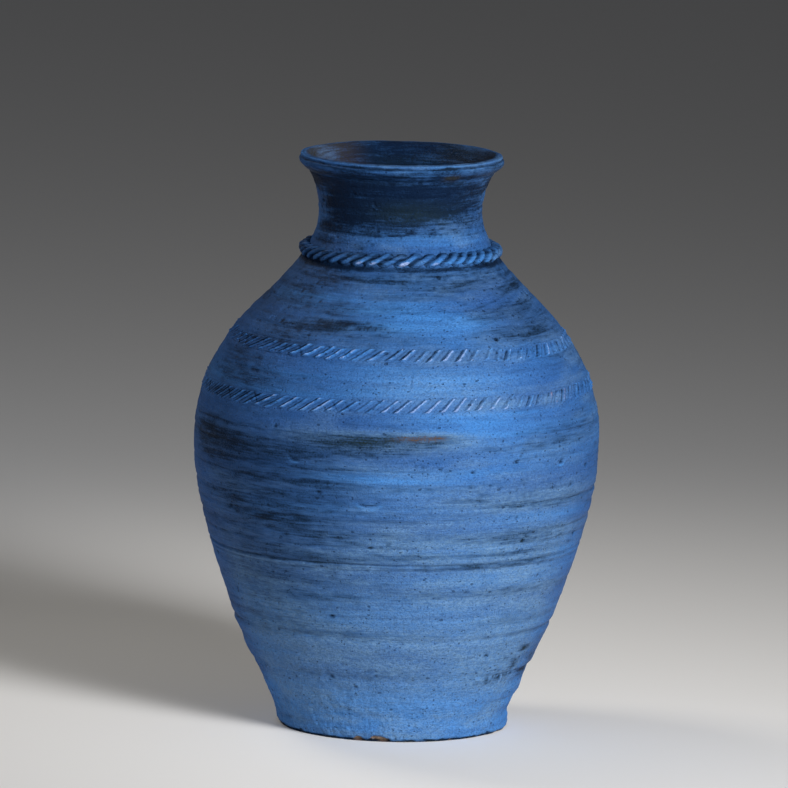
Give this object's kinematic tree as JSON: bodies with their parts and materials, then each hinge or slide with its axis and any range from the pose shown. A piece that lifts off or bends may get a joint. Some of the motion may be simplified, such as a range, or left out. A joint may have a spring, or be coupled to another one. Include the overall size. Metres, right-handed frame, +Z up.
{
  "type": "terracotta water jar",
  "caption": "Hand-thrown, blue-painted terracotta water jar with a flared neck, rolled lip, notched rope collar and bands of slanted stick marks round the shoulder.",
  "frame": {"origin": "centre of the flat face that the jar rests on", "axes": "+Z up along the jar's own axis; -Y faces the viewer of the picture; the jar is a body of revolution"},
  "size_m": [0.297, 0.2968, 0.421],
  "materials": {
    "blue_painted_terracotta": "brushed blue paint and dark wash over fired clay, satin",
    "bare_terracotta": "bare fired clay, matt, wire-cut underneath"
  },
  "bodies": {
    "root": {"base_slab": "bare_terracotta", "lower_wall": "blue_painted_terracotta", "belly_wall": "blue_painted_terracotta", "shoulder_wall": "blue_painted_terracotta", "neck_wall": "blue_painted_terracotta", "rim_roll": "blue_painted_terracotta", "rope_collar": "blue_painted_terracotta", "upper_stroke_band": "blue_painted_terracotta", "lower_stroke_band": "blue_painted_terracotta"}
  },
  "joints": []
}
